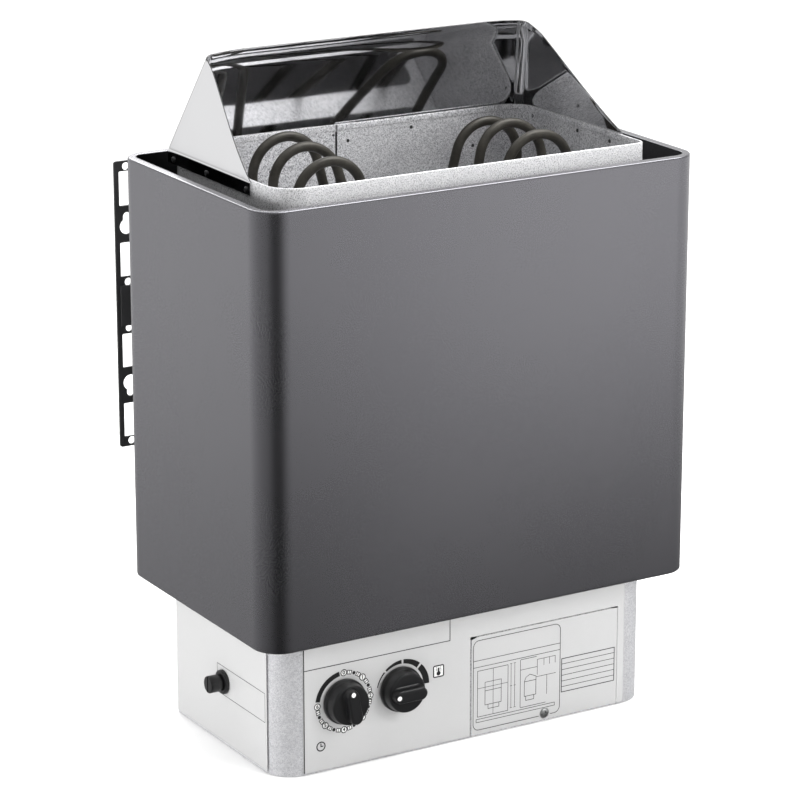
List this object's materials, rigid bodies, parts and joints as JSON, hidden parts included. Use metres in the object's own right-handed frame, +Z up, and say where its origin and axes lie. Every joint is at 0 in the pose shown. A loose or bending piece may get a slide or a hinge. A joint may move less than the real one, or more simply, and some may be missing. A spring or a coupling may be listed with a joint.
{
  "type": "sauna heater",
  "caption": "Wall-hung electric sauna heater with a painted casing, open stone chamber with tubular elements, splash guard, control box with knobs and reset button, and wall rack.",
  "frame": {"origin": "centre of the footprint (casing to wall) at the level of the control box's underside", "axes": "+Z up, +Y towards the wall, front with the knobs towards -Y, +X to the viewer's right"},
  "size_m": [0.407, 0.28, 0.565],
  "materials": {
    "casing_paint": "satin anthracite powder coat",
    "galvanised": "galvanised sheet with a fine grey spangle",
    "polished_steel": "mirror-polished stainless sheet",
    "zinc_steel": "bright zinc plating",
    "element_sheath": "oxidised dark olive-grey sheath",
    "ceramic": "matt unglazed steatite",
    "brass": "plain rolled",
    "silver_film": "smooth satin silver overlay",
    "black_plastic": "satin moulded black",
    "phenolic": "matt moulded dark brown",
    "copper": "drawn tube",
    "silicone": "braided sleeve over silicone",
    "rack_paint": "satin black paint"
  },
  "bodies": {
    "heater": {"outer_casing": "casing_paint", "stone_liner": "galvanised", "stone_floor": "galvanised", "control_box": "galvanised", "control_box_lid": "galvanised", "control_box_base": "galvanised", "service_hatch": "galvanised", "liner_support_left": "galvanised", "liner_support_right": "galvanised", "casing_spacer_left_front": "galvanised", "casing_spacer_left_rear": "galvanised", "casing_spacer_right_front": "galvanised", "casing_spacer_right_rear": "galvanised", "heat_guard": "polished_steel", "guard_rivet_left_1": "zinc_steel", "guard_rivet_left_2": "zinc_steel", "guard_rivet_left_3": "zinc_steel", "guard_rivet_right_1": "zinc_steel", "guard_rivet_right_2": "zinc_steel", "guard_rivet_right_3": "zinc_steel", "hatch_screw": "zinc_steel", "lock_screw_left": "zinc_steel", "lock_screw_right": "zinc_steel", "lock_nut_left": "zinc_steel", "lock_nut_right": "zinc_steel", "element_front": "element_sheath", "element_middle": "element_sheath", "element_rear": "element_sheath", "element_bush_front_left": "ceramic", "element_bush_front_right": "ceramic", "element_bush_middle_left": "ceramic", "element_bush_middle_right": "ceramic", "element_bush_rear_left": "ceramic", "element_bush_rear_right": "ceramic", "element_link_bar": "brass", "front_film": "silver_film", "hatch_film": "silver_film", "side_film": "silver_film", "reset_bush": "black_plastic", "cable_gland": "black_plastic", "timer_body": "phenolic", "thermostat_body": "phenolic", "limiter_body": "phenolic", "terminal_block": "phenolic", "thermostat_capillary": "copper", "limiter_capillary": "copper", "element_lead_front": "silicone", "element_lead_middle": "silicone", "element_lead_rear": "silicone", "rack_strip_left": "rack_paint", "rack_strip_right": "rack_paint", "rack_bar": "rack_paint", "hanger_left": "rack_paint", "hanger_right": "rack_paint"},
    "timer_knob": {"timer_knob": "black_plastic", "timer_spindle": "zinc_steel"},
    "thermostat_knob": {"thermostat_knob": "black_plastic", "thermostat_spindle": "zinc_steel"},
    "reset_cap": {"reset_cap": "black_plastic"},
    "reset_plunger": {"reset_plunger": "ceramic"}
  },
  "joints": [
    {"name": "timer_turn", "type": "hinge", "parent": "heater", "child": "timer_knob", "pos_m": [-0.1198, -0.1131, 0.0582], "axis": [0, 1, 0], "range_deg": [0, 330]},
    {"name": "thermostat_turn", "type": "hinge", "parent": "heater", "child": "thermostat_knob", "pos_m": [-0.0668, -0.1131, 0.0582], "axis": [0, 1, 0], "range_deg": [0, 180]},
    {"name": "reset_cap_unscrew", "type": "slide", "parent": "heater", "child": "reset_cap", "axis": [-1, 0, 0], "range_m": [0, 0.025]},
    {"name": "reset_press", "type": "slide", "parent": "heater", "child": "reset_plunger", "axis": [1, 0, 0], "range_m": [0, 0.002], "stiffness_N_per_m": 300}
  ]
}
